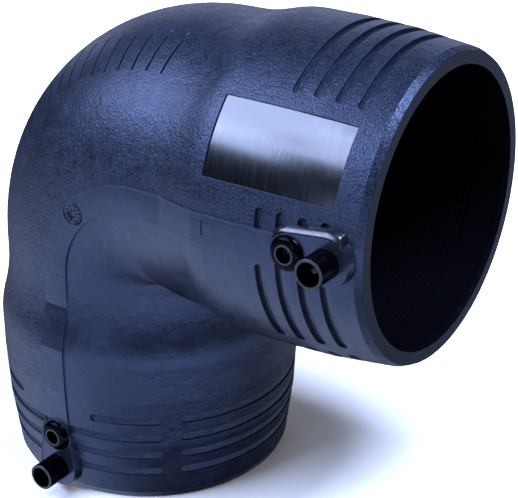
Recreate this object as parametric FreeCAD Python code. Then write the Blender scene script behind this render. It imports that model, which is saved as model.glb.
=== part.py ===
import FreeCAD
import Part
import math
import os

# Electrofusion elbow for 125 mm polyethylene pipe, ninety degrees, millimetres.
# The lower socket stands on its mouth in the plane z = 0 with its axis on Z.
# The side socket runs along X at the height of the leg and opens toward +X.
# The terminals, the raised wire band and the label face look toward -Y.
# In the lower socket "depth" is the height above the mouth. The side socket is the
# mirror image of it in the plane x + z = leg_length, as the moulding is symmetrical.

# Main sizes
pipe_diameter = 125.0
leg_length = 165.4
bend_radius = 48.2
socket_clearance = 0.5
insertion_depth = 75.0
stop_step = 6.0

# Outer shape of a socket: wall over the bore at the depths where the profile changes
face_wall = 6.6
edge_chamfer_depth = 3.4
edge_wall = 8.2
taper_break_depth = 31.5
taper_break_wall = 11.8
crown_depth = 57.0
crown_wall = 13.1
shoulder_depth = 80.5
shoulder_wall = 13.35
neck_run = 19.5
neck_wall = 14.0
shoulder_round = 40.0
neck_round = 80.0

# Mouth and fusion zone inside a socket
lead_in_depth = 2.2
lead_in_step = 0.8
winding_start_depth = 17.5
winding_end_depth = 57.0
winding_thickness = 1.2
winding_setback = 0.1
moulded_gap = 0.02

# Circumferential grooves
groove_depths = [16.5, 26.5, 36.5, 46.5]
groove_width = 4.3
groove_cut = 1.6
groove_far_cut = 0.8

# Raised band that covers the wire between the two sockets
band_height = 0.8
band_outer_reach = 6.3
band_inner_reach = 7.1
band_ramp_lead = 0.5
band_ramp_tail = 1.0

# Connector pad with the terminal and the fusion indicator
terminal_depth = 13.3
indicator_depth = 31.3
pad_wall = 13.5
pad_terminal_radius = 11.3
pad_indicator_radius = 9.2
pad_draft = 0.8
shroud_height = 12.7
shroud_outer_radius = 6.6
shroud_wall = 1.3
shroud_inner_depth = 13.0
shroud_rim_bevel = 0.35
pin_cover = 1.1
pin_radius = 2.0
pin_recess = 4.2
pin_flange_radius = 3.0
pin_flange_height = 1.0
collar_radius = 7.9
collar_foot = 0.5
collar_height = 2.8
collar_rim_radius = 4.4
collar_rim_height = 0.3
well_radius = 3.6
well_depth = 6.3
indicator_radius = 2.4
indicator_recess = 3.3
indicator_foot_wall = 4.0

# Label face on the side socket
label_near_depth = 14.1
label_far_depth = 76.6
label_low_angle = 16.7
label_high_angle = 43.8
label_near_wall = 8.95
label_middle_depth = 40.0
label_middle_wall = 11.6
label_far_wall = 12.65

# Slits over the crown of the bend
slit_count = 20
slit_width = 1.1
slit_low_angle = 42.5
slit_high_angle = 22.0
slit_cut = 1.3

# Small marks on the band
stamp_radius = 5.7
stamp_cut = 0.5
mark_depth = 74.0
mark_offset = -0.4
mark_length = 7.0
mark_width = 1.1
mark_cut = 0.5

# Values that follow from the sizes above
bore_radius = pipe_diameter / 2 + socket_clearance
stop_radius = bore_radius - stop_step
face_outer_radius = bore_radius + face_wall
edge_radius = bore_radius + edge_wall
taper_break_radius = bore_radius + taper_break_wall
crown_radius = bore_radius + crown_wall
shoulder_radius = bore_radius + shoulder_wall
neck_depth = shoulder_depth + neck_run
neck_radius = stop_radius + neck_wall
band_ramp_low_depth = shoulder_depth - band_ramp_lead
band_ramp_high_depth = neck_depth + band_ramp_tail
pad_top = bore_radius + pad_wall
shroud_top = pad_top + shroud_height
indicator_foot = bore_radius + indicator_foot_wall
label_near_floor = bore_radius + label_near_wall
label_middle_floor = bore_radius + label_middle_wall
label_far_floor = bore_radius + label_far_wall
pivot_height = leg_length - bend_radius
pin_foot = bore_radius + winding_setback + winding_thickness + pin_cover
swollen_neck = neck_radius + band_height

origin = FreeCAD.Vector(0, 0, 0)
z_axis = FreeCAD.Vector(0, 0, 1)
y_axis = FreeCAD.Vector(0, 1, 0)
pivot = FreeCAD.Vector(bend_radius, 0, pivot_height)


def to_side(shape):
    """Mirror a shape of the lower socket onto the side socket."""
    centre = FreeCAD.Vector(leg_length / 2, 0, leg_length / 2)
    return shape.mirror(centre, FreeCAD.Vector(1, 0, 1))


def surface_radius(depth):
    """Radius of the tapered outside at a depth between the mouth and the shoulder."""
    points = [(edge_chamfer_depth, edge_radius),
              (taper_break_depth, taper_break_radius),
              (crown_depth, crown_radius),
              (shoulder_depth, shoulder_radius)]
    for near, far in zip(points[:-1], points[1:]):
        if depth <= far[0]:
            share = (depth - near[0]) / (far[0] - near[0])
            return near[1] + share * (far[1] - near[1])
    return shoulder_radius


def rounded_edges(points, rounds):
    """Edges in the XZ plane along the points (radius, height), rounding the named corners."""
    edges = []
    start = FreeCAD.Vector(points[0][0], 0, points[0][1])
    for index in range(1, len(points)):
        corner = FreeCAD.Vector(points[index][0], 0, points[index][1])
        if index in rounds:
            after = FreeCAD.Vector(points[index + 1][0], 0, points[index + 1][1])
            back = (start - corner).normalize()
            ahead = (after - corner).normalize()
            half = back.getAngle(ahead) / 2
            reach = rounds[index] / math.tan(half)
            middle = (back + ahead).normalize()
            centre = corner + middle * (rounds[index] / math.sin(half))
            first = corner + back * reach
            last = corner + ahead * reach
            crest = centre - middle * rounds[index]
            edges.append(Part.makeLine(start, first))
            edges.append(Part.Arc(first, crest, last).toShape())
            start = last
        else:
            edges.append(Part.makeLine(start, corner))
            start = corner
    return edges


def turned(points, rounds=None):
    """Solid turned about Z from a closed outline of (radius, height) points."""
    closed = list(points) + [points[0]]
    edges = rounded_edges(closed, rounds or {})
    face = Part.Face(Part.Wire(edges))
    return face.revolve(origin, z_axis, 360)


def bend_wedge(radius):
    """Quarter bend of a round bar, the part that lies outside the pivot line."""
    last = 180.0
    if radius > bend_radius:
        last = math.degrees(math.acos(-bend_radius / radius))
    angles = [-last, -90, -30, 30, 90, last]
    edges = []
    for start, end in zip(angles[:-1], angles[1:]):
        points = []
        for angle in (start, (start + end) / 2, end):
            turn = math.radians(angle)
            points.append(FreeCAD.Vector(-radius * math.cos(turn), radius * math.sin(turn),
                                         pivot_height))
        edges.append(Part.Arc(points[0], points[1], points[2]).toShape())
    if last < 180:
        edges.append(Part.makeLine(edges[-1].Vertexes[-1].Point, edges[0].Vertexes[0].Point))
    face = Part.Face(Part.Wire(edges))
    return face.revolve(pivot, y_axis, 90)


def joined_legs(leg, radius):
    """Both legs and the bend between them as one solid."""
    return leg.fuse([to_side(leg), bend_wedge(radius)])


def outer_body():
    """Sockets with taper, shoulder and neck, and the bend."""
    points = [(0, 0),
              (face_outer_radius, 0),
              (edge_radius, edge_chamfer_depth),
              (taper_break_radius, taper_break_depth),
              (crown_radius, crown_depth),
              (shoulder_radius, shoulder_depth),
              (neck_radius, neck_depth),
              (neck_radius, pivot_height),
              (0, pivot_height)]
    leg = turned(points, {5: shoulder_round, 6: neck_round})
    return joined_legs(leg, neck_radius)


def inner_space():
    """Lead-in, pipe socket, winding seat, stop and waterway through the bend."""
    seat_radius = bore_radius + winding_setback + winding_thickness + moulded_gap
    points = [(0, -5),
              (bore_radius + lead_in_step * (1 + 5 / lead_in_depth), -5),
              (bore_radius, lead_in_depth),
              (bore_radius, winding_start_depth - moulded_gap),
              (seat_radius, winding_start_depth - moulded_gap),
              (seat_radius, winding_end_depth + moulded_gap),
              (bore_radius, winding_end_depth + moulded_gap),
              (bore_radius, insertion_depth),
              (stop_radius, insertion_depth),
              (stop_radius, pivot_height),
              (0, pivot_height)]
    return joined_legs(turned(points), stop_radius)


def facing(depth, angle, radius):
    """Point on a lower socket; the angle turns from -Y toward the outside of the elbow."""
    turn = math.radians(angle)
    return FreeCAD.Vector(-radius * math.sin(turn), -radius * math.cos(turn), depth)


def swept_between(face, low_angle, high_angle):
    """Turn a face drawn at -Y about Z from the low to the high angle."""
    placed = face.copy()
    placed.rotate(origin, z_axis, -high_angle)
    return placed.revolve(origin, z_axis, high_angle - low_angle)


def outline_at_front(points):
    """Face in the plane x = 0 on the -Y side from (depth, radius) points."""
    corners = [FreeCAD.Vector(0, -radius, depth) for depth, radius in points]
    corners.append(corners[0])
    return Part.Face(Part.makePolygon(corners))


def groove(depth, low_angle, high_angle):
    """Groove cutter of a lower socket between two angles: round ends, floor rising to the mouth."""
    surface = surface_radius(depth)
    floor = surface - groove_cut
    far_floor = surface - groove_far_cut
    above = surface + 3
    half = groove_width / 2
    inset = math.degrees(half / surface)
    square = outline_at_front([(depth - half, floor - 1), (depth + half, floor - 1),
                               (depth + half, above), (depth - half, above)])
    pieces = [swept_between(square, low_angle + inset, high_angle - inset)]
    for angle in (low_angle + inset, high_angle - inset):
        base = facing(depth, angle, floor - 1)
        direction = facing(0, angle, 1)
        pieces.append(Part.makeCylinder(half, above - floor + 1, base, direction))
    wedge = outline_at_front([(depth - half - 1, far_floor), (depth - half, far_floor),
                              (depth + half, floor), (depth + half + 1, floor),
                              (depth + half + 1, above - 1), (depth - half - 1, above - 1)])
    return pieces[0].fuse(pieces[1:]).common(swept_between(wedge, low_angle - 1, high_angle + 1))


def groove_cutters(plan):
    """All grooves of one socket from a list of (first angle, last angle) per groove."""
    cutters = []
    for depth, arcs in zip(groove_depths, plan):
        for low_angle, high_angle in arcs:
            cutters.append(groove(depth, low_angle, high_angle))
    return cutters


def label_cutter():
    """Cutter of the label face, drawn on the lower socket before mirroring."""
    near = FreeCAD.Vector(0, -label_near_floor, label_near_depth)
    middle = FreeCAD.Vector(0, -label_middle_floor, label_middle_depth)
    far = FreeCAD.Vector(0, -label_far_floor, label_far_depth)
    above_far = FreeCAD.Vector(0, -label_far_floor - 8, label_far_depth)
    above_near = FreeCAD.Vector(0, -label_far_floor - 8, label_near_depth)
    edges = [Part.Arc(near, middle, far).toShape(),
             Part.makeLine(far, above_far),
             Part.makeLine(above_far, above_near),
             Part.makeLine(above_near, near)]
    return swept_between(Part.Face(Part.Wire(edges)), label_low_angle, label_high_angle)


def raised_band():
    """Band over the wire: up the lower leg, round the bend and along the side leg."""
    high = band_height
    points = [(0, indicator_depth),
              (surface_radius(indicator_depth) + high, indicator_depth),
              (crown_radius + high, crown_depth),
              (shoulder_radius + high, band_ramp_low_depth),
              (swollen_neck, band_ramp_high_depth),
              (swollen_neck, pivot_height),
              (0, pivot_height)]
    swollen = joined_legs(turned(points), swollen_neck)
    front = -2 * shoulder_radius
    height = 1.5 * shoulder_radius
    corner = FreeCAD.Vector(bend_radius, front, pivot_height)
    side = bend_radius + band_outer_reach
    strip = Part.makeBox(band_inner_reach + band_outer_reach, height,
                         pivot_height - indicator_depth,
                         FreeCAD.Vector(-band_outer_reach, front, indicator_depth))
    outer_disc = Part.makeCylinder(side, height, corner, y_axis)
    inner_disc = Part.makeCylinder(bend_radius - band_inner_reach, height, corner, y_axis)
    quarter = Part.makeBox(side, height, side, corner - FreeCAD.Vector(side, 0, 0))
    arch = outer_disc.cut(inner_disc).common(quarter)
    track = strip.fuse([to_side(strip), arch])
    return swollen.common(track)


def pad():
    """Connector pad of the lower socket: a drafted outline round both centres."""
    base_y = -(bore_radius + 6)
    wires = []
    for level, shrink in ((base_y, 0.0), (-pad_top, pad_draft)):
        low = pad_terminal_radius - shrink
        high = pad_indicator_radius - shrink
        spacing = indicator_depth - terminal_depth
        lean = math.asin((low - high) / spacing)
        cosine = math.cos(lean)
        sine = math.sin(lean)
        low_right = FreeCAD.Vector(low * cosine, level, terminal_depth + low * sine)
        high_right = FreeCAD.Vector(high * cosine, level, indicator_depth + high * sine)
        high_left = FreeCAD.Vector(-high * cosine, level, indicator_depth + high * sine)
        low_left = FreeCAD.Vector(-low * cosine, level, terminal_depth + low * sine)
        top = FreeCAD.Vector(0, level, indicator_depth + high)
        bottom = FreeCAD.Vector(0, level, terminal_depth - low)
        edges = [Part.makeLine(low_right, high_right),
                 Part.Arc(high_right, top, high_left).toShape(),
                 Part.makeLine(high_left, low_left),
                 Part.Arc(low_left, bottom, low_right).toShape()]
        wires.append(Part.Wire(edges))
    return Part.makeLoft(wires, True)


def post(radius, low, high, depth):
    """Round post on the lower socket between two distances from the elbow plane."""
    base = FreeCAD.Vector(0, -low, depth)
    return Part.makeCylinder(radius, high - low, base, FreeCAD.Vector(0, -1, 0))


def shroud():
    """Outside of the terminal shroud with a bevelled rim."""
    bevel = shroud_rim_bevel
    tube = post(shroud_outer_radius, pad_top - 4, shroud_top - bevel, terminal_depth)
    rim = Part.makeCone(shroud_outer_radius, shroud_outer_radius - bevel, bevel,
                        FreeCAD.Vector(0, -(shroud_top - bevel), terminal_depth),
                        FreeCAD.Vector(0, -1, 0))
    return tube.fuse(rim)


def collar():
    """Domed collar of the fusion indicator with the thin rim of its well."""
    base = pad_top - 4
    foot = pad_top + collar_foot
    top = pad_top + collar_height
    slope = math.radians(45)
    shoulder = collar_rim_radius + (collar_radius - collar_rim_radius) * math.cos(slope)
    crest = foot + (top - foot) * math.sin(slope)
    places = [(0, base), (collar_radius, base), (collar_radius, foot),
              (shoulder, crest), (collar_rim_radius, top), (0, top)]
    corners = [FreeCAD.Vector(radius, -out, indicator_depth) for radius, out in places]
    edges = [Part.makeLine(corners[0], corners[1]),
             Part.makeLine(corners[1], corners[2]),
             Part.Arc(corners[2], corners[3], corners[4]).toShape(),
             Part.makeLine(corners[4], corners[5]),
             Part.makeLine(corners[5], corners[0])]
    dome = Part.Face(Part.Wire(edges)).revolve(corners[0], y_axis, 360)
    rim = post(collar_rim_radius, pad_top, top + collar_rim_height, indicator_depth)
    return dome.fuse(rim)


def connector_hollows():
    """Shroud socket, pin seat, lead slot, indicator well and indicator seat."""
    shroud_floor = shroud_top - shroud_inner_depth
    hollow = post(shroud_outer_radius - shroud_wall, shroud_floor, shroud_top + 5, terminal_depth)
    flange = post(pin_flange_radius + moulded_gap, shroud_floor - pin_flange_height,
                  shroud_floor + 1, terminal_depth)
    shank = post(pin_radius + moulded_gap, pin_foot, shroud_floor, terminal_depth)
    well_floor = pad_top + collar_height - well_depth
    well = post(well_radius, well_floor, pad_top + collar_height + 5, indicator_depth)
    seat = post(indicator_radius + moulded_gap, indicator_foot, well_floor + 1, indicator_depth)
    return [hollow, flange, shank, lead(moulded_gap), well, seat]


def lead(gap):
    """Tail of the winding that runs under the terminal pin."""
    low = bore_radius + winding_setback + winding_thickness / 2
    near = terminal_depth - pin_radius - gap
    far = winding_start_depth + 3 + gap
    half = 1.2 + gap
    return Part.makeBox(2 * half, pin_foot - low, far - near,
                        FreeCAD.Vector(-half, -pin_foot, near))


def slits():
    """Thin slits over the shoulder of the bend, each in its own plane through the pivot."""
    cutters = []
    for index in range(slit_count):
        sweep = 90.0 * index / (slit_count - 1)
        corners = []
        for angle, radius in ((slit_low_angle, neck_radius - slit_cut),
                              (slit_low_angle, neck_radius + 2),
                              (slit_high_angle, neck_radius + 2),
                              (slit_high_angle, neck_radius)):
            turn = math.radians(angle)
            corners.append(FreeCAD.Vector(-radius * math.cos(turn), -radius * math.sin(turn),
                                          pivot_height - slit_width / 2))
        corners.append(corners[0])
        blade = Part.Face(Part.makePolygon(corners)).extrude(z_axis * slit_width)
        blade.rotate(pivot, y_axis, sweep)
        cutters.append(blade)
    return cutters


def band_marks():
    """Round date stamp at the middle of the bend and the depth mark on the side leg."""
    centre_x = bend_radius - bend_radius * math.cos(math.pi / 4)
    centre_z = pivot_height + bend_radius * math.sin(math.pi / 4)
    stamp = Part.makeCylinder(stamp_radius, band_height + stamp_cut,
                              FreeCAD.Vector(centre_x, -(swollen_neck - stamp_cut), centre_z),
                              FreeCAD.Vector(0, -1, 0))
    face_y = -(surface_radius(mark_depth) + band_height)
    mark = Part.makeBox(mark_length, 2 * mark_cut, mark_width,
                        FreeCAD.Vector(mark_offset - mark_length / 2, face_y - mark_cut,
                                       mark_depth - mark_width / 2))
    return [stamp, to_side(mark)]


lower_plan = [[(-131, -49), (-42, 42), (49, 131)],
              [(-131, -49), (-42, 42), (49, 131)],
              [(-131, -49), (-42, 42), (49, 131)],
              [(-131, -49), (-42, -15), (20, 42), (49, 131)]]
side_plan = [[(-131, -49), (-42, 11.7), (49.5, 131)],
             [(-131, -49), (-42, 11.7), (49.5, 131)],
             [(-131, -49), (-42, 11.7), (49.5, 131)],
             [(-131, -49), (-42, -7.5), (4, 11.7), (49.5, 131)]]

body = outer_body()
cutters = groove_cutters(lower_plan)
cutters += [to_side(cutter) for cutter in groove_cutters(side_plan)]
cutters.append(to_side(label_cutter()))
cutters += slits()
body = body.cut(cutters)
pads = [pad(), shroud(), collar()]
body = body.fuse([raised_band()] + pads + [to_side(shape) for shape in pads])
hollows = connector_hollows()
body = body.cut([inner_space()] + hollows + [to_side(shape) for shape in hollows] + band_marks())


def winding():
    """Wound heating zone of the lower socket with the tail under the terminal."""
    inner = bore_radius + winding_setback
    points = [(inner, winding_start_depth),
              (inner + winding_thickness, winding_start_depth),
              (inner + winding_thickness, winding_end_depth),
              (inner, winding_end_depth)]
    return turned(points).fuse(lead(0.0)).removeSplitter()


def terminal_pin():
    """Contact pin with the flange that sits in the shroud floor."""
    shroud_floor = shroud_top - shroud_inner_depth
    stem = post(pin_radius, pin_foot, shroud_top - pin_recess, terminal_depth)
    flange = post(pin_flange_radius, shroud_floor - pin_flange_height, shroud_floor, terminal_depth)
    return stem.fuse(flange).removeSplitter()


def indicator_pin():
    """Melt indicator pin standing in its well."""
    return post(indicator_radius, indicator_foot,
                pad_top + collar_height - indicator_recess, indicator_depth)


def solid_of(shape):
    """The single solid inside a boolean result."""
    if shape.ShapeType == "Solid":
        return shape
    return shape.Solids[0]


nodes = {"elbow_body": body,
         "heating_winding_lower": winding(),
         "heating_winding_side": to_side(winding()),
         "terminal_pin_lower": terminal_pin(),
         "terminal_pin_side": to_side(terminal_pin()),
         "indicator_pin_lower": indicator_pin(),
         "indicator_pin_side": to_side(indicator_pin())}

os.makedirs("parts", exist_ok=True)
for name, shape in nodes.items():
    print(name, len(shape.Solids), shape.isValid(), round(shape.Volume))
    solid_of(shape).exportStep("parts/" + name + ".step")
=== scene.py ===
import math

import bmesh
import bpy
from mathutils import Matrix, Vector


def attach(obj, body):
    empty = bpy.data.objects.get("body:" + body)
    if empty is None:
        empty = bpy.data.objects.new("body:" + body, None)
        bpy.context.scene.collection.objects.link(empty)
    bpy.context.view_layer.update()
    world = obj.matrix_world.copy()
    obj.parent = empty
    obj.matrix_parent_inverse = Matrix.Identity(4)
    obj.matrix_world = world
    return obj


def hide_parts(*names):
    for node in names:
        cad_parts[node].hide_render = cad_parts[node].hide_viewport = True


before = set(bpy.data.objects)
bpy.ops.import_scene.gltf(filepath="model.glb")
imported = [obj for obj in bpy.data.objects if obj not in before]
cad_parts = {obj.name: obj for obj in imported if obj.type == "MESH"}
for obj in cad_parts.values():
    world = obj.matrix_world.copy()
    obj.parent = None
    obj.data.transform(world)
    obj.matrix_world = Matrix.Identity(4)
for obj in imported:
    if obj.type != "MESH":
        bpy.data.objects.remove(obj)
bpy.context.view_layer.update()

# Looks of the electrofusion elbow: black polyethylene, moulded in one piece, with two
# wound heating zones, two contact pins and two melt indicators.
# Sizes are millimetres and become metres where a mesh or a node takes them.
MM = 0.001

# Legs and bend. The lower socket stands on Z, and the side socket points to +X.
LEG = 165.4
BORE_RADIUS = 63.0
BEND_RADIUS = 48.2
PIVOT = LEG - BEND_RADIUS
BAND_OUTER_REACH = 6.3

# Connectors: distance of each from its mouth, then radii, then distances from the axis
TERMINAL_DEPTH = 13.3
INDICATOR_DEPTH = 31.3
PAD_SPACING = INDICATOR_DEPTH - TERMINAL_DEPTH
PAD_TERMINAL_RADIUS = 11.3
PAD_INDICATOR_RADIUS = 9.2
SHROUD_REACH = 6.6
SHROUD_WELL_REACH = 5.4
COLLAR_REACH = 7.9
RIM_REACH = 4.4
WELL_REACH = 3.6
WELL_FLOOR = 73.0
PAD_TOP = 76.5
COLLAR_TOP = 79.6
SHROUD_TOP = 89.2

# Label face: its two ends, its two sides in degrees round the side socket, its radius
LABEL_X = (88.7, 151.4)
LABEL_ANGLES = (16.6, 43.9)
LABEL_REACH = 75.8


# Small helpers
def linear(hex_code):
    """Scene colour of an sRGB hex value."""
    values = []
    for start in (1, 3, 5):
        share = int(hex_code[start:start + 2], 16) / 255
        if share <= 0.04045:
            values.append(share / 12.92)
        else:
            values.append(((share + 0.055) / 1.055) ** 2.4)
    return (*values, 1.0)


def shaded(colour, share):
    """A colour made darker or lighter by a share."""
    return [channel * share for channel in colour[:3]] + [1.0]


def add_node(tree, kind, settings=None, inputs=None):
    """Add one node. An input is a value, or a socket to link from."""
    node = tree.nodes.new(kind)
    for name, value in (settings or {}).items():
        setattr(node, name, value)
    for key, value in (inputs or {}).items():
        if isinstance(value, bpy.types.NodeSocket):
            tree.links.new(value, node.inputs[key])
        else:
            node.inputs[key].default_value = value
    return node


def new_material(name):
    """An empty node material with its output node."""
    material = bpy.data.materials.new(name)
    material.use_nodes = True
    tree = material.node_tree
    tree.nodes.clear()
    output = add_node(tree, "ShaderNodeOutputMaterial")
    return material, tree, output


def mesh_object(name, mesh):
    """Link a mesh as an object that sits at the origin."""
    piece = bpy.data.objects.new(name, mesh)
    bpy.context.scene.collection.objects.link(piece)
    return piece


def finish_mesh(mesh, shape, sharp_degrees):
    """Turn the faces outward, write them to the mesh and smooth all but its sharp edges."""
    bmesh.ops.recalc_face_normals(shape, faces=shape.faces)
    shape.to_mesh(mesh)
    shape.free()
    mesh.shade_smooth()
    mesh.set_sharp_from_angle(angle=math.radians(sharp_degrees))


# Finishes
PLASTIC_IOR = 1.52
BEVEL_SAMPLES = 4


def moulded_plastic(name, colour, tint, roughness, gloss, grain_mm, grain_depth_mm, edge_mm,
                    stretch=(1, 1, 1)):
    """A moulded surface: low waves of the tool, slightly uneven gloss, softened edges."""
    material, tree, output = new_material(name)
    place = add_node(tree, "ShaderNodeTexCoord")
    laid = add_node(tree, "ShaderNodeMapping",
                    inputs={"Vector": place.outputs["Object"], "Scale": stretch})
    grain = add_node(tree, "ShaderNodeTexNoise",
                     inputs={"Vector": laid.outputs["Vector"], "Scale": 1 / (grain_mm * MM),
                             "Detail": 2.0, "Roughness": 0.55})
    shade = add_node(tree, "ShaderNodeMixRGB",
                     inputs={"Fac": grain.outputs["Fac"],
                             "Color1": shaded(linear(colour), 0.85),
                             "Color2": shaded(linear(colour), 1.15)})
    polish = add_node(tree, "ShaderNodeMapRange",
                      inputs={"Value": grain.outputs["Fac"], "From Min": 0.3, "From Max": 0.7,
                              "To Min": roughness * 0.85, "To Max": roughness * 1.15})
    bump_inputs = {"Height": grain.outputs["Fac"], "Strength": 1.0,
                   "Distance": grain_depth_mm * MM}
    if edge_mm:
        rounded = add_node(tree, "ShaderNodeBevel", {"samples": BEVEL_SAMPLES},
                           {"Radius": edge_mm * MM})
        bump_inputs["Normal"] = rounded.outputs["Normal"]
    bump = add_node(tree, "ShaderNodeBump", inputs=bump_inputs)
    skin = add_node(tree, "ShaderNodeBsdfPrincipled",
                    inputs={"Base Color": shade.outputs["Color"],
                            "Roughness": polish.outputs["Result"], "IOR": PLASTIC_IOR,
                            "Specular IOR Level": gloss, "Specular Tint": linear(tint),
                            "Normal": bump.outputs["Normal"]})
    tree.links.new(skin.outputs["BSDF"], output.inputs["Surface"])
    return material


# Skin off the eroded tool. The grain is drawn a little coarser than the real one, so that
# it shows at the size of the photograph.
SKIN_COLOUR = "#141722"
SKIN_TINT = "#b4ccff"
GRAIN_WIDTH = 0.80
GRAIN_DEPTH = 0.22
SMOOTH_GRAIN = 0.10
FACET_WIDTH = 0.50
FACET_TILT = 0.13
BLOTCH_WIDTH = 6.0
BLOTCH_DEPTH = 0.35
CLOUD_WIDTH = 24.0
PARTING_WIDTH = 0.5
PARTING_HEIGHT = 0.14
EDGE_ROUND = 0.4
BAND_BLEND = 0.8
# How far the grain and the blotches shift the colour and the gloss; the grain's share of the
# colour is painted light on the tips and painted shade in the pits
PEBBLE_LIGHT_SHADE_PAINT = 1.0
GRAIN_GLOSS = 0.30
BLOTCH_GLOSS = 0.30
DULLNESS = (0.34, 0.39)


def outer_skin():
    """Black polyethylene off an eroded tool: pebbled grain outside the wire band that breaks
    the light into sparkles, a smoother blotchy belly inside it, and a fine parting line."""
    material, tree, output = new_material("grained_polyethylene")
    place = add_node(tree, "ShaderNodeTexCoord").outputs["Object"]
    across = add_node(tree, "ShaderNodeSeparateXYZ", inputs={0: place}).outputs["Y"]

    # How far a point lies outside the wire band, which follows the inner side of the bend
    behind_bend = add_node(tree, "ShaderNodeVectorMath", {"operation": "MULTIPLY_ADD"},
                           {0: place, 1: (-1, 0, 1),
                            2: (BEND_RADIUS * MM, 0, -PIVOT * MM)})
    outward = add_node(tree, "ShaderNodeVectorMath", {"operation": "MAXIMUM"},
                       {0: behind_bend.outputs["Vector"], 1: (0, 0, 0)})
    reach = add_node(tree, "ShaderNodeVectorMath", {"operation": "LENGTH"},
                     {0: outward.outputs["Vector"]})
    front = add_node(tree, "ShaderNodeMath", {"operation": "LESS_THAN"}, {0: across, 1: 0.0})
    border = add_node(tree, "ShaderNodeMath", {"operation": "MULTIPLY_ADD"},
                      {0: front.outputs[0], 1: BAND_OUTER_REACH * MM, 2: BEND_RADIUS * MM})
    outside = add_node(tree, "ShaderNodeMath", {"operation": "SUBTRACT"},
                       {0: reach.outputs["Value"], 1: border.outputs[0]})
    grained = add_node(tree, "ShaderNodeMapRange", {"interpolation_type": "SMOOTHSTEP"},
                       {"Value": outside.outputs[0], "From Min": -BAND_BLEND * MM,
                        "From Max": BAND_BLEND * MM}).outputs["Result"]

    # The three sizes of unevenness
    grain = add_node(tree, "ShaderNodeTexNoise",
                     inputs={"Vector": place, "Scale": 1 / (GRAIN_WIDTH * MM),
                             "Detail": 1.5, "Roughness": 0.5}).outputs["Fac"]
    blotch = add_node(tree, "ShaderNodeTexNoise",
                      inputs={"Vector": place, "Scale": 1 / (BLOTCH_WIDTH * MM),
                              "Detail": 3.0, "Roughness": 0.6}).outputs["Fac"]
    cloud = add_node(tree, "ShaderNodeTexNoise",
                     inputs={"Vector": place, "Scale": 1 / (CLOUD_WIDTH * MM),
                             "Detail": 2.0}).outputs["Fac"]
    grain_offset = add_node(tree, "ShaderNodeMath", {"operation": "SUBTRACT"},
                            {0: grain, 1: 0.5})
    blotch_offset = add_node(tree, "ShaderNodeMath", {"operation": "SUBTRACT"},
                             {0: blotch, 1: 0.5})

    # Relief: grain, blotches and the parting line
    depth = add_node(tree, "ShaderNodeMapRange",
                     inputs={"Value": grained, "To Min": SMOOTH_GRAIN * GRAIN_DEPTH,
                             "To Max": GRAIN_DEPTH})
    from_parting = add_node(tree, "ShaderNodeMath", {"operation": "ABSOLUTE"}, {0: across})
    parting = add_node(tree, "ShaderNodeMapRange", {"interpolation_type": "SMOOTHSTEP"},
                       {"Value": from_parting.outputs[0], "From Max": PARTING_WIDTH * MM,
                        "To Min": PARTING_HEIGHT, "To Max": 0.0})
    waves = add_node(tree, "ShaderNodeMath", {"operation": "MULTIPLY_ADD"},
                     {0: blotch, 1: BLOTCH_DEPTH, 2: parting.outputs["Result"]})
    height = add_node(tree, "ShaderNodeMath", {"operation": "MULTIPLY_ADD"},
                      {0: grain, 1: depth.outputs["Result"], 2: waves.outputs[0]})
    rounded = add_node(tree, "ShaderNodeBevel", {"samples": BEVEL_SAMPLES},
                       {"Radius": EDGE_ROUND * MM})
    bump = add_node(tree, "ShaderNodeBump",
                    inputs={"Height": height.outputs[0], "Strength": 1.0, "Distance": MM,
                            "Normal": rounded.outputs["Normal"]})

    # Each pit of the tool leans its own way, which scatters the highlights into points
    pit = add_node(tree, "ShaderNodeTexVoronoi",
                   inputs={"Vector": place, "Scale": 1 / (FACET_WIDTH * MM)})
    lean = add_node(tree, "ShaderNodeVectorMath", {"operation": "SUBTRACT"},
                    {0: pit.outputs["Color"], 1: (0.5, 0.5, 0.5)})
    steepness = add_node(tree, "ShaderNodeMath", {"operation": "MULTIPLY"},
                         {0: grained, 1: FACET_TILT})
    tilt = add_node(tree, "ShaderNodeVectorMath", {"operation": "SCALE"},
                    {0: lean.outputs["Vector"], "Scale": steepness.outputs[0]})
    tilted = add_node(tree, "ShaderNodeVectorMath", {"operation": "ADD"},
                      {0: bump.outputs["Normal"], 1: tilt.outputs["Vector"]})
    facet = add_node(tree, "ShaderNodeVectorMath", {"operation": "NORMALIZE"},
                     {0: tilted.outputs["Vector"]})

    # Colour: clouds and blotches everywhere; where it is grained, painted light on the tips and
    # painted shade in the pits
    tips = add_node(tree, "ShaderNodeMapRange",
                    inputs={"Value": grain, "From Min": 0.34, "From Max": 0.70})
    tips_offset = add_node(tree, "ShaderNodeMath", {"operation": "SUBTRACT"},
                           {0: tips.outputs["Result"], 1: 0.5})
    painted_pebble_light_shade = add_node(tree, "ShaderNodeMath", {"operation": "MULTIPLY"},
                       {0: tips_offset.outputs[0], 1: grained})
    clouds = add_node(tree, "ShaderNodeMath", {"operation": "MULTIPLY"}, {0: cloud, 1: 0.4})
    mottle = add_node(tree, "ShaderNodeMath", {"operation": "MULTIPLY_ADD"},
                      {0: blotch, 1: 0.6, 2: clouds.outputs[0]})
    share = add_node(tree, "ShaderNodeMath", {"operation": "MULTIPLY_ADD"},
                     {0: painted_pebble_light_shade.outputs[0], 1: PEBBLE_LIGHT_SHADE_PAINT, 2: mottle.outputs[0]})
    shade = add_node(tree, "ShaderNodeMixRGB",
                     inputs={"Fac": share.outputs[0],
                             "Color1": shaded(linear(SKIN_COLOUR), 0.3),
                             "Color2": shaded(linear(SKIN_COLOUR), 1.8)})

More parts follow.
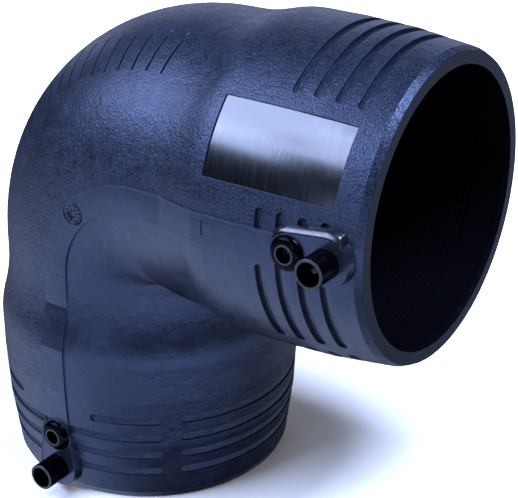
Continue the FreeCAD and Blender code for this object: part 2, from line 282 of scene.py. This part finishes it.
    # Gloss: duller where it is grained, uneven with the blotches and the grain
    dullness = add_node(tree, "ShaderNodeMapRange",
                        inputs={"Value": grained, "To Min": DULLNESS[0],
                                "To Max": DULLNESS[1]})
    patches = add_node(tree, "ShaderNodeMath", {"operation": "MULTIPLY_ADD"},
                       {0: blotch_offset.outputs[0], 1: BLOTCH_GLOSS,
                        2: dullness.outputs["Result"]})
    grain_gloss = add_node(tree, "ShaderNodeMath", {"operation": "MULTIPLY"},
                           {0: grained, 1: GRAIN_GLOSS})
    roughness = add_node(tree, "ShaderNodeMath", {"operation": "MULTIPLY_ADD"},
                         {0: grain_offset.outputs[0], 1: grain_gloss.outputs[0],
                          2: patches.outputs[0]})
    skin = add_node(tree, "ShaderNodeBsdfPrincipled",
                    inputs={"Base Color": shade.outputs["Color"],
                            "Roughness": roughness.outputs[0], "IOR": PLASTIC_IOR,
                            "Specular IOR Level": 0.46, "Specular Tint": linear(SKIN_TINT),
                            "Normal": facet.outputs["Vector"]})
    tree.links.new(skin.outputs["BSDF"], output.inputs["Surface"])
    return material


def brass_painted_shade():
    """Turned brass of the contact pins: fine rings from the tool, a random stain, and a dark
    colour that paints the shade deep in the shrouds.
    """
    material, tree, output = new_material("brass_painted_shade")
    place = add_node(tree, "ShaderNodeTexCoord")
    rings = add_node(tree, "ShaderNodeTexWave", {"bands_direction": "Y"},
                     {"Vector": place.outputs["Object"], "Scale": 1 / (1.6 * MM),
                      "Distortion": 0.4})
    stain = add_node(tree, "ShaderNodeTexNoise",
                     inputs={"Vector": place.outputs["Object"], "Scale": 1 / (1.2 * MM)})
    shade = add_node(tree, "ShaderNodeMixRGB",
                     inputs={"Fac": stain.outputs["Fac"], "Color1": linear("#201915"),
                             "Color2": linear("#40352b")})
    bump = add_node(tree, "ShaderNodeBump",
                    inputs={"Height": rings.outputs["Fac"], "Strength": 0.4,
                            "Distance": 0.02 * MM})
    skin = add_node(tree, "ShaderNodeBsdfPrincipled",
                    inputs={"Base Color": shade.outputs["Color"], "Metallic": 1.0,
                            "Roughness": 0.36, "Normal": bump.outputs["Normal"]})
    tree.links.new(skin.outputs["BSDF"], output.inputs["Surface"])
    return material


grained_skin = outer_skin()
# Polished insert behind the label face: a clear reflection with fine streaks round the socket.
label_polish = moulded_plastic("polished_polyethylene", "#05060a", "#edf3ff", 0.20, 0.74,
                               0.9, 0.025, 0.0, (1.0, 0.12, 0.12))
# Polished insert round the connectors: the same plastic as the skin with a soft gloss.
pad_skin = moulded_plastic("satin_polyethylene", "#131620", "#b8d0ff", 0.26, 0.52,
                           3.0, 0.03, 0.3)
# Rounded foot of the pads: as bright as the label where it turns up to the light.
foot_polish = moulded_plastic("burnished_pad_foot", "#0d0f16", "#edf3ff", 0.26, 0.62,
                              3.0, 0.03, 0.0)
# Polished tool on the small connectors: nearly black with sharp highlights.
connector_gloss = moulded_plastic("glossy_polyethylene", "#020204", "#eef2ff", 0.15, 0.03,
                                  3.0, 0.02, 0.25)
# Rims of the connectors: paler and duller than their walls, the paler colour a painted highlight
# along their edges.
rim_painted_highlight = moulded_plastic("scuffed_rim_polyethylene", "#1e1f26", "#eef2ff", 0.42, 0.30,
                              0.8, 0.03, 0.2)
# End faces of the sockets, trimmed flat: duller than the skin beside them, and darker as painted
# shade on the faces.
mouth_painted_shade = moulded_plastic("trimmed_mouth_painted_shade", "#0c0e14", "#b4ccff", 0.40, 0.22,
                             0.9, 0.06, 0.4)
# Turned core inside the sockets: nearly without gloss, and black as painted shade inside them.
bore_painted_shade = moulded_plastic("smooth_bore_painted_shade", "#010103", "#c8ccf0", 0.75, 0.05,
                            2.0, 0.03, 0.3)
# Coated resistance wire in the fusion zone: as black as the bore, painted shade inside the
# socket.
wire_painted_shade = moulded_plastic("coated_heating_wire_painted_shade", "#010103", "#c8ccf0", 0.80, 0.05,
                            1.5, 0.02, 0.0)
# Dial insert of the tool: the marks come out smooth and darker than the grained skin, a painted
# shade: on the part ring the shadow of the recess wall, on the bar the shade of a slot.
dial_painted_shade = moulded_plastic("dial_painted_shade_polyethylene", "#04050a", "#c8d8ff", 0.35, 0.15,
                               1.0, 0.01, 0.0)
# Melt indicator: black nylon with a soft gloss.
indicator_nylon = moulded_plastic("black_nylon", "#030306", "#eef2ff", 0.30, 0.2,
                                  1.5, 0.01, 0.0)
brass = brass_painted_shade()


# The moulded body keeps its CAD mesh, and each face gets the finish of its feature.
SKIN, LABEL, CONNECTOR, BORE, PAD, RIM, MOUTH = range(7)
# How far the middle of a face may lie past a feature's size and still belong to it
SLACK = 0.1
PAD_SLACK = 0.15
LEAD_IN = 2.2
SHROUD_RIM = (1.4, 0.4)
COLLAR_RIM_DEPTH = 0.35
FRONT_START = WELL_FLOOR - 0.5
FAR_AWAY = 1000.0


def on_pad(u, v):
    """Whether a point is inside the pad's outline, from its place beside the terminal."""
    share = min(max(v / PAD_SPACING, 0), 1)
    radius = PAD_TERMINAL_RADIUS + (PAD_INDICATOR_RADIUS - PAD_TERMINAL_RADIUS) * share
    return math.hypot(u, v - share * PAD_SPACING) < radius + PAD_SLACK


def connector_finish(u, v, y):
    """Slot number of a face near a pair of connectors, or None where the skin goes on."""
    from_shroud = math.hypot(u, v)
    from_collar = math.hypot(u, v - PAD_SPACING)
    rim_width, rim_depth = SHROUD_RIM
    if (y < rim_depth - SHROUD_TOP
            and SHROUD_REACH - rim_width < from_shroud < SHROUD_REACH + SLACK):
        return RIM
    if (y < COLLAR_RIM_DEPTH - COLLAR_TOP
            and WELL_REACH - SLACK < from_collar < RIM_REACH + SLACK):
        return RIM
    if y < -PAD_TOP - SLACK and (from_shroud < SHROUD_REACH + SLACK
                                 or from_collar < COLLAR_REACH + SLACK):
        return CONNECTOR
    if y < -WELL_FLOOR and from_shroud < SHROUD_WELL_REACH:
        return CONNECTOR
    if from_collar < WELL_REACH + SLACK:
        return CONNECTOR
    if on_pad(u, v):
        return PAD
    return None


def face_finish(centre):
    """Slot number of a face of the body from its middle point in millimetres."""
    x, y, z = centre
    side = math.hypot(y, z - LEG)
    if x > BEND_RADIUS and z > PIVOT:
        from_axis = side
    elif z < PIVOT:
        from_axis = min(math.hypot(x, y), side if x > BEND_RADIUS else FAR_AWAY)
    else:
        from_axis = math.hypot(math.hypot(x - BEND_RADIUS, z - PIVOT) - BEND_RADIUS, y)
    if from_axis < BORE_RADIUS + LEAD_IN:
        return BORE
    if x > LEG - SLACK or z < SLACK:
        return MOUTH
    angle = math.degrees(math.atan2(z - LEG, -y))
    if (LABEL_X[0] < x < LABEL_X[1] and LABEL_ANGLES[0] < angle < LABEL_ANGLES[1]
            and side < LABEL_REACH):
        return LABEL
    if y > -FRONT_START:
        return SKIN
    for u, v in ((x, z - TERMINAL_DEPTH), (LEG - z, LEG - x - TERMINAL_DEPTH)):
        finish = connector_finish(u, v, y)
        if finish is not None:
            return finish
    return SKIN


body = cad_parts["elbow_body"]
body.data.materials.clear()
for finish in (grained_skin, label_polish, connector_gloss, bore_painted_shade, pad_skin, rim_painted_highlight,
               mouth_painted_shade):
    body.data.materials.append(finish)
corners = [vertex.co / MM for vertex in body.data.vertices]
slots = []
for polygon in body.data.polygons:
    middle = sum((corners[i] for i in polygon.vertices), Vector()) / len(polygon.vertices)
    slots.append(face_finish(middle))
body.data.polygons.foreach_set("material_index", slots)
body.data.update()

# Turned pieces, as (radius, distance from the socket's axis)
PIN_PROFILE = [(0, 65.4), (2.0, 65.4), (2.0, 75.2), (2.85, 75.2), (3.0, 75.35),
               (3.0, 76.05), (2.85, 76.2), (2.15, 76.2), (2.0, 76.35), (2.0, 83.9),
               (1.92, 84.3), (1.7, 84.7), (1.35, 84.95), (1.0, 85.0), (0, 85.0)]
INDICATOR_PROFILE = [(0, 67.0), (2.25, 67.0), (2.4, 67.2), (2.4, 75.6), (2.28, 75.9),
                     (2.05, 76.0), (1.75, 75.95), (1.6, 75.6), (1.5, 74.9), (0.9, 74.7),
                     (0, 74.65)]
TURNED_STEPS = 48
TURNED_SHARP = 32


def turned_piece(name, profile, centre, finish):
    """Piece turned round an axis that points to -Y, which passes a centre in X and Z."""
    mesh = bpy.data.meshes.new(name)
    shape = bmesh.new()
    rings = []
    for radius, out in profile:
        if radius == 0:
            rings.append([shape.verts.new((centre[0], -out, centre[1]))])
            continue
        ring = []
        for step in range(TURNED_STEPS):
            turn = 2 * math.pi * step / TURNED_STEPS
            ring.append(shape.verts.new((centre[0] + radius * math.cos(turn), -out,
                                         centre[1] + radius * math.sin(turn))))
        rings.append(ring)
    for first, second in zip(rings[:-1], rings[1:]):
        for step in range(TURNED_STEPS):
            after = (step + 1) % TURNED_STEPS
            if len(first) == 1:
                shape.faces.new((first[0], second[step], second[after]))
            elif len(second) == 1:
                shape.faces.new((first[step], second[0], first[after]))
            else:
                shape.faces.new((first[step], second[step], second[after], first[after]))
    bmesh.ops.scale(shape, vec=(MM, MM, MM), verts=shape.verts)
    mesh.materials.append(finish)
    finish_mesh(mesh, shape, TURNED_SHARP)
    return mesh_object(name, mesh)


# New piece, the CAD node that it stands for, and its material slot in the record
pieces = []
for name, centre in (("terminal_pin_lower", (0.0, TERMINAL_DEPTH)),
                     ("terminal_pin_side", (LEG - TERMINAL_DEPTH, LEG))):
    piece = turned_piece("brass_" + name, PIN_PROFILE, centre, brass)
    pieces.append((piece, name, "pin_metal"))
for name, centre in (("indicator_pin_lower", (0.0, INDICATOR_DEPTH)),
                     ("indicator_pin_side", (LEG - INDICATOR_DEPTH, LEG))):
    piece = turned_piece("nylon_" + name, INDICATOR_PROFILE, centre, indicator_nylon)
    pieces.append((piece, name, "indicator_plastic"))

# Foot of a pad, as (distance from the pad's outline, distance from the socket's axis)
FOOT_PROFILE = [(-0.3, 76.48), (0.3, 76.2), (0.9, 75.6), (1.5, 74.9), (2.0, 74.0), (2.3, 71.0),
                (-0.6, 71.0)]
FOOT_STEPS = 40
FOOT_START = 118
FOOT_SWEEP = 102
FOOT_SHARP = 50
FADE_START = 0.15
FADE_SLOPE = 6
SUNK_END = 0.3


def outline_point(turn, offset):
    """Point of the pad's outline beside the terminal, moved outward by an offset."""
    narrowing = (PAD_TERMINAL_RADIUS - PAD_INDICATOR_RADIUS) / PAD_SPACING
    on_indicator = math.sin(turn) > narrowing
    radius = PAD_INDICATOR_RADIUS if on_indicator else PAD_TERMINAL_RADIUS
    centre = PAD_SPACING if on_indicator else 0.0
    return ((radius + offset) * math.cos(turn), centre + (radius + offset) * math.sin(turn))


def pad_foot(name, place):
    """Rounded foot that joins the outer side of a pad to the wall and fades at both ends."""
    mesh = bpy.data.meshes.new(name)
    shape = bmesh.new()
    loops = []
    for step in range(FOOT_STEPS + 1):
        share = step / FOOT_STEPS
        turn = math.radians(FOOT_START + FOOT_SWEEP * share)
        swell = min(1.0, FADE_START + FADE_SLOPE * share, FADE_START + FADE_SLOPE * (1 - share))
        loop = []
        for offset, out in FOOT_PROFILE:
            u, v = outline_point(turn, offset * swell - SUNK_END * (1 - swell))
            loop.append(shape.verts.new((u, -out, TERMINAL_DEPTH + v)))
        loops.append(loop)
    for first, second in zip(loops[:-1], loops[1:]):
        for near in range(len(FOOT_PROFILE)):
            far = (near + 1) % len(FOOT_PROFILE)
            shape.faces.new((first[near], second[near], second[far], first[far]))
    shape.faces.new(loops[0])
    shape.faces.new(loops[-1])
    bmesh.ops.scale(shape, vec=(MM, MM, MM), verts=shape.verts)
    bmesh.ops.transform(shape, matrix=place, verts=shape.verts)
    mesh.materials.append(foot_polish)
    finish_mesh(mesh, shape, FOOT_SHARP)
    return mesh_object(name, mesh)


# Pieces grown by geometry trees
GROWN_SHARP = 40


def new_growth(name, sizes):
    """An empty geometry tree with a named number for each size."""
    tree = bpy.data.node_groups.new(name, "GeometryNodeTree")
    tree.interface.new_socket("Geometry", in_out="OUTPUT", socket_type="NodeSocketGeometry")
    for label, value in sizes.items():
        socket = tree.interface.new_socket(label, in_out="INPUT", socket_type="NodeSocketFloat")
        socket.default_value = value
    start = add_node(tree, "NodeGroupInput")
    return tree, start.outputs


def end_growth(tree, geometry, finish):
    """Make the instances real, give them their finish and end the tree."""
    real = add_node(tree, "GeometryNodeRealizeInstances", inputs={"Geometry": geometry})
    coat = add_node(tree, "GeometryNodeSetMaterial",
                    inputs={"Geometry": real.outputs["Geometry"], "Material": finish})
    add_node(tree, "NodeGroupOutput", inputs={"Geometry": coat.outputs["Geometry"]})


def grown(name, tree, values, places):
    """Run a geometry tree and keep its result as a plain mesh moved through some places."""
    holder = mesh_object(name + "_holder", bpy.data.meshes.new(name + "_holder"))
    modifier = holder.modifiers.new("grow", "NODES")
    modifier.node_group = tree
    for socket in tree.interface.items_tree:
        if socket.in_out == "INPUT" and socket.name in values:
            modifier[socket.identifier] = values[socket.name]
    bpy.context.view_layer.update()
    depsgraph = bpy.context.evaluated_depsgraph_get()
    mesh = bpy.data.meshes.new_from_object(holder.evaluated_get(depsgraph))
    mesh.name = name
    bpy.data.objects.remove(holder)
    for place in places:
        mesh.transform(place)
    shape = bmesh.new()
    shape.from_mesh(mesh)
    finish_mesh(mesh, shape, GROWN_SHARP)
    return mesh_object(name, mesh)


WINDING_TURNS = 15.5
WINDING_START = 18.3


def winding_tree():
    """Wire wound in a close helix round Z, laid against the wall of the socket."""
    tree, size = new_growth("heating_winding", {
        "Radius": 63.7 * MM, "Height": 38 * MM, "Turns": WINDING_TURNS,
        "Wire Thickness": 1.2 * MM, "Wire Width": 2.36 * MM, "Wire Corner": 0.3 * MM})
    helix = add_node(tree, "GeometryNodeCurveSpiral",
                     inputs={"Resolution": 96, "Rotations": size["Turns"],
                             "Start Radius": size["Radius"], "End Radius": size["Radius"],
                             "Height": size["Height"]})
    ribbon = add_node(tree, "GeometryNodeCurvePrimitiveQuadrilateral",
                      inputs={"Width": size["Wire Thickness"], "Height": size["Wire Width"]})
    eased = add_node(tree, "GeometryNodeFilletCurve", {"mode": "POLY"},
                     {"Curve": ribbon.outputs["Curve"], "Count": 2,
                      "Radius": size["Wire Corner"]})
    wire = add_node(tree, "GeometryNodeCurveToMesh",
                    inputs={"Curve": helix.outputs["Curve"],
                            "Profile Curve": eased.outputs["Curve"], "Fill Caps": True})
    end_growth(tree, wire.outputs["Mesh"], wire_painted_shade)
    return tree


# The part ring lies on the side where the recess wall casts its shadow: a painted shadow
RING_START = math.radians(-28)
RING_SWEEP = math.radians(165)
DIAL_BAR_LENGTH = 4.4
# Place of the dial in X and Z, the floor of its recess, and how far it is turned
DIAL_PLACE = (14.12, 151.28)
DIAL_FLOOR = 71.35
DIAL_TURN = -52


def dial_tree():
    """Month dial of the tool: part of a ring, two circles of dots and a bar beside them. The part
    ring paints the shadow of the recess wall, and the bar the shade of a slot.
    """
    tree, size = new_growth("month_dial", {
        "Ring Radius": 5.1 * MM, "Dot Circle": 3.7 * MM, "Dot Radius": 0.40 * MM,
        "Inner Dot Circle": 1.7 * MM, "Rise": 0.45 * MM, "Bar Length": DIAL_BAR_LENGTH * MM,
        "Bar Width": 1.7 * MM, "Bar Offset": -2.9 * MM})
    lane = add_node(tree, "GeometryNodeCurveArc",
                    inputs={"Resolution": 40, "Radius": size["Ring Radius"],
                            "Start Angle": RING_START, "Sweep Angle": RING_SWEEP})
    bead = add_node(tree, "GeometryNodeCurvePrimitiveCircle",
                    inputs={"Resolution": 8, "Radius": size["Rise"]})
    ring = add_node(tree, "GeometryNodeCurveToMesh",
                    inputs={"Curve": lane.outputs["Curve"],
                            "Profile Curve": bead.outputs["Curve"], "Fill Caps": True})
    dot = add_node(tree, "GeometryNodeMeshUVSphere",
                   inputs={"Segments": 10, "Rings": 6, "Radius": size["Dot Radius"]})
    outer_spots = add_node(tree, "GeometryNodeMeshCircle",
                           inputs={"Vertices": 12, "Radius": size["Dot Circle"]})
    outer_dots = add_node(tree, "GeometryNodeInstanceOnPoints",
                          inputs={"Points": outer_spots.outputs["Mesh"],
                                  "Instance": dot.outputs["Mesh"]})
    inner_spots = add_node(tree, "GeometryNodeMeshCircle",
                           inputs={"Vertices": 6, "Radius": size["Inner Dot Circle"]})
    inner_dots = add_node(tree, "GeometryNodeInstanceOnPoints",
                          inputs={"Points": inner_spots.outputs["Mesh"],
                                  "Instance": dot.outputs["Mesh"]})
    bar_size = add_node(tree, "ShaderNodeCombineXYZ",
                        inputs={"X": size["Bar Length"], "Y": size["Bar Width"],
                                "Z": size["Rise"]})
    bar = add_node(tree, "GeometryNodeMeshCube", inputs={"Size": bar_size.outputs["Vector"]})
    beside = add_node(tree, "ShaderNodeCombineXYZ", inputs={"Y": size["Bar Offset"]})
    moved = add_node(tree, "GeometryNodeTransform",
                     inputs={"Geometry": bar.outputs["Mesh"],
                             "Translation": beside.outputs["Vector"]})
    joined = add_node(tree, "GeometryNodeJoinGeometry", inputs={"Geometry": ring.outputs["Mesh"]})
    for part in (outer_dots.outputs["Instances"], inner_dots.outputs["Instances"],
                 moved.outputs["Geometry"]):
        tree.links.new(part, joined.inputs["Geometry"])
    end_growth(tree, joined.outputs["Geometry"], dial_painted_shade)
    return tree


# Turns the lower socket's place into the side socket's
TO_SIDE = Matrix(((0, 0, -1, LEG * MM), (0, 1, 0, 0), (-1, 0, 0, LEG * MM), (0, 0, 0, 1)))

for name, place in (("pad_foot_lower", Matrix()), ("pad_foot_side", TO_SIDE)):
    foot = pad_foot(name, place)
    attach(foot, "root")

winding_growth = winding_tree()
winding_lift = Matrix.Translation((0, 0, WINDING_START * MM))
for name, places in (("heating_winding_lower", [winding_lift]),
                     ("heating_winding_side", [winding_lift, TO_SIDE])):
    piece = grown("wound_" + name, winding_growth, {"Turns": WINDING_TURNS}, places)
    pieces.append((piece, name, "winding_wire"))

dial_upright = (Matrix.Rotation(math.radians(90), 4, "X")
                @ Matrix.Rotation(math.radians(DIAL_TURN), 4, "Z"))
dial_spot = Matrix.Translation((DIAL_PLACE[0] * MM, -DIAL_FLOOR * MM, DIAL_PLACE[1] * MM))
dial = grown("month_dial", dial_tree(), {"Bar Length": DIAL_BAR_LENGTH * MM},
             [dial_upright, dial_spot])
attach(dial, "root")

for piece, node, slot in pieces:
    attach(piece, "root")
    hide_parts(node)

# Floor
FLOOR_REACH = 6.0
FLOOR_DROP = 0.0002
# Glow of the paper itself: where it starts and ends from the elbow, in metres, and how
# strong it is there
PAPER_GLOW_REACH = (0.12, 0.5)
PAPER_GLOW = (0.10, 1.2)


def paper_floor():
    """Wide white sheet under the elbow, lit from within away from it, so that the ground
    stays white to the horizon."""
    mesh = bpy.data.meshes.new("floor")
    mesh.from_pydata([(-FLOOR_REACH, -FLOOR_REACH, 0), (FLOOR_REACH, -FLOOR_REACH, 0),
                      (FLOOR_REACH, FLOOR_REACH, 0), (-FLOOR_REACH, FLOOR_REACH, 0)],
                     [], [(0, 1, 2, 3)])
    material, tree, output = new_material("white_paper")
    place = add_node(tree, "ShaderNodeTexCoord").outputs["Object"]
    away = add_node(tree, "ShaderNodeVectorMath", {"operation": "LENGTH"}, {0: place})
    glow = add_node(tree, "ShaderNodeMapRange", {"interpolation_type": "SMOOTHSTEP"},
                    {"Value": away.outputs["Value"], "From Min": PAPER_GLOW_REACH[0],
                     "From Max": PAPER_GLOW_REACH[1], "To Min": PAPER_GLOW[0],
                     "To Max": PAPER_GLOW[1]})
    skin = add_node(tree, "ShaderNodeBsdfPrincipled",
                    inputs={"Base Color": linear("#fbfbfc"), "Roughness": 0.9,
                            "Emission Color": linear("#fff8f0"),
                            "Emission Strength": glow.outputs["Result"]})
    tree.links.new(skin.outputs["BSDF"], output.inputs["Surface"])
    mesh.materials.append(material)
    return mesh_object("floor", mesh)


floor = paper_floor()
floor.location.z = -FLOOR_DROP
# The plastic mirrors the glow of the studio world in the floor's place
floor.visible_glossy = False

# Camera in the place that the photograph was taken from, in metres and radians
CAMERA_PLACE = Vector((0.4133, -0.5025, 0.3987))
CAMERA_YAW = -0.603
CAMERA_PITCH = 0.427
CAMERA_ROLL = 0.006
FOCAL_PIXELS = 1390.885
PHOTO_WIDTH = 518
PHOTO_HEIGHT = 498
PHOTO_MIDDLE = (258.384, 249.108)
SENSOR_WIDTH = 36.0

camera_data = bpy.data.cameras.new("camera")
camera_data.sensor_width = SENSOR_WIDTH
camera_data.lens = SENSOR_WIDTH * FOCAL_PIXELS / PHOTO_WIDTH
camera_data.shift_x = (PHOTO_WIDTH / 2 - PHOTO_MIDDLE[0]) / PHOTO_WIDTH
camera_data.shift_y = (PHOTO_MIDDLE[1] - PHOTO_HEIGHT / 2) / PHOTO_WIDTH
camera = bpy.data.objects.new("camera", camera_data)
ahead = Vector((math.sin(CAMERA_YAW) * math.cos(CAMERA_PITCH),
                math.cos(CAMERA_YAW) * math.cos(CAMERA_PITCH), -math.sin(CAMERA_PITCH)))
level = Vector((math.cos(CAMERA_YAW), -math.sin(CAMERA_YAW), 0))
upward = level.cross(ahead)
right = level * math.cos(CAMERA_ROLL) + upward * math.sin(CAMERA_ROLL)
above = upward * math.cos(CAMERA_ROLL) - level * math.sin(CAMERA_ROLL)
camera.matrix_world = Matrix((
    (right.x, above.x, -ahead.x, CAMERA_PLACE.x),
    (right.y, above.y, -ahead.y, CAMERA_PLACE.y),
    (right.z, above.z, -ahead.z, CAMERA_PLACE.z),
    (0, 0, 0, 1)))
bpy.context.scene.collection.objects.link(camera)
bpy.context.scene.camera = camera

# Soft boxes round the elbow, aimed at its middle from the same distance
AIM = Vector((0.05, 0.0, 0.12))
BOX_DISTANCE = 1.4
LIGHT_COLOUR = linear("#c7d6ff")
# Name, azimuth from -Y toward +X, elevation, width, height, radiance
SOFT_BOXES = [
    ("key_right", 90, 64, 0.33, 0.59, 73.0),
    ("front_left_high", -45, 52, 0.714, 0.595, 14.0),
    ("front_left_low", -52.5, 34, 0.622, 0.294, 20.5),
    ("front_low", -30, 34, 0.306, 0.294, 14.5),
    ("front_middle", -15, 46, 0.256, 0.50, 16.0),
    ("front_floor", 0, 10, 0.363, 0.294, 10.3),
    ("left", -120, 10, 0.363, 0.294, 2.2),
    ("back_left", -150, 22, 1.075, 0.91, 1.25),
]
for name, azimuth, elevation, width, height, radiance in SOFT_BOXES:
    box = bpy.data.lights.new(name, "AREA")
    box.shape = "RECTANGLE"
    box.size = width
    box.size_y = height
    box.energy = math.pi * width * height * radiance
    box.color = LIGHT_COLOUR[:3]
    lamp = bpy.data.objects.new(name, box)
    turn, rise = math.radians(azimuth), math.radians(elevation)
    out = Vector((math.sin(turn) * math.cos(rise), -math.cos(turn) * math.cos(rise),
                  math.sin(rise)))
    lamp.location = AIM + out * BOX_DISTANCE
    lamp.rotation_mode = "QUATERNION"
    lamp.rotation_quaternion = (-out).to_track_quat("-Z", "Y")
    bpy.context.scene.collection.objects.link(lamp)

# Light from below that the plastic mirrors instead of the paper: azimuth of each side, and
# its radiance at some depths from 0 at the horizon to 1 straight down
GROUND_GLOW = [
    (-45, ((0.1, 0.0), (0.35, 2.1), (0.6, 3.0), (0.9, 2.2))),
    (45, ((0.1, 0.0), (0.35, 5.9), (0.6, 0.0))),
    (135, ((0.1, 0.0), (0.35, 1.2), (0.6, 0.0))),
    (-135, ((0.6, 0.0), (0.9, 0.85))),
]
# A colour ramp holds shares of this radiance
GLOW_SCALE = 10.0


def studio_world():
    """Dim studio: nothing from above, and a soft glow from below toward a few sides."""
    world = bpy.data.worlds.new("studio")
    world.use_nodes = True
    tree = world.node_tree
    background = tree.nodes["Background"]
    background.inputs["Color"].default_value = LIGHT_COLOUR
    ray = add_node(tree, "ShaderNodeTexCoord").outputs["Generated"]
    rise = add_node(tree, "ShaderNodeSeparateXYZ", inputs={0: ray})
    depth = add_node(tree, "ShaderNodeMath", {"operation": "MULTIPLY"},
                     {0: rise.outputs["Z"], 1: -1.0})
    level_ray = add_node(tree, "ShaderNodeVectorMath", {"operation": "MULTIPLY"},
                         {0: ray, 1: (1.0, 1.0, 0.0)})
    compass = add_node(tree, "ShaderNodeVectorMath", {"operation": "NORMALIZE"},
                       {0: level_ray.outputs["Vector"]})
    total = 0.0
    for azimuth, stops in GROUND_GLOW:
        turn = math.radians(azimuth)
        toward = add_node(tree, "ShaderNodeVectorMath", {"operation": "DOT_PRODUCT"},
                          {0: compass.outputs["Vector"],
                           1: (math.sin(turn), -math.cos(turn), 0.0)})
        facing = add_node(tree, "ShaderNodeMath", {"operation": "MAXIMUM"},
                          {0: toward.outputs["Value"], 1: 0.0})
        side = add_node(tree, "ShaderNodeMath", {"operation": "POWER"},
                        {0: facing.outputs[0], 1: 2.0})
        ramp = add_node(tree, "ShaderNodeValToRGB", inputs={"Fac": depth.outputs[0]})
        steps = ramp.color_ramp.elements
        steps.remove(steps[1])
        steps[0].position = stops[0][0]
        for place, radiance in stops:
            step = steps[0] if place == stops[0][0] else steps.new(place)
            step.color = (radiance / GLOW_SCALE,) * 3 + (1.0,)
        total = add_node(tree, "ShaderNodeMath", {"operation": "MULTIPLY_ADD"},
                         {0: side.outputs[0], 1: ramp.outputs["Color"], 2: total}).outputs[0]
    strength = add_node(tree, "ShaderNodeMath", {"operation": "MULTIPLY"},
                        {0: total, 1: GLOW_SCALE})
    tree.links.new(strength.outputs[0], background.inputs["Strength"])
    return world


bpy.context.scene.world = studio_world()
bpy.context.scene.view_settings.view_transform = "Standard"
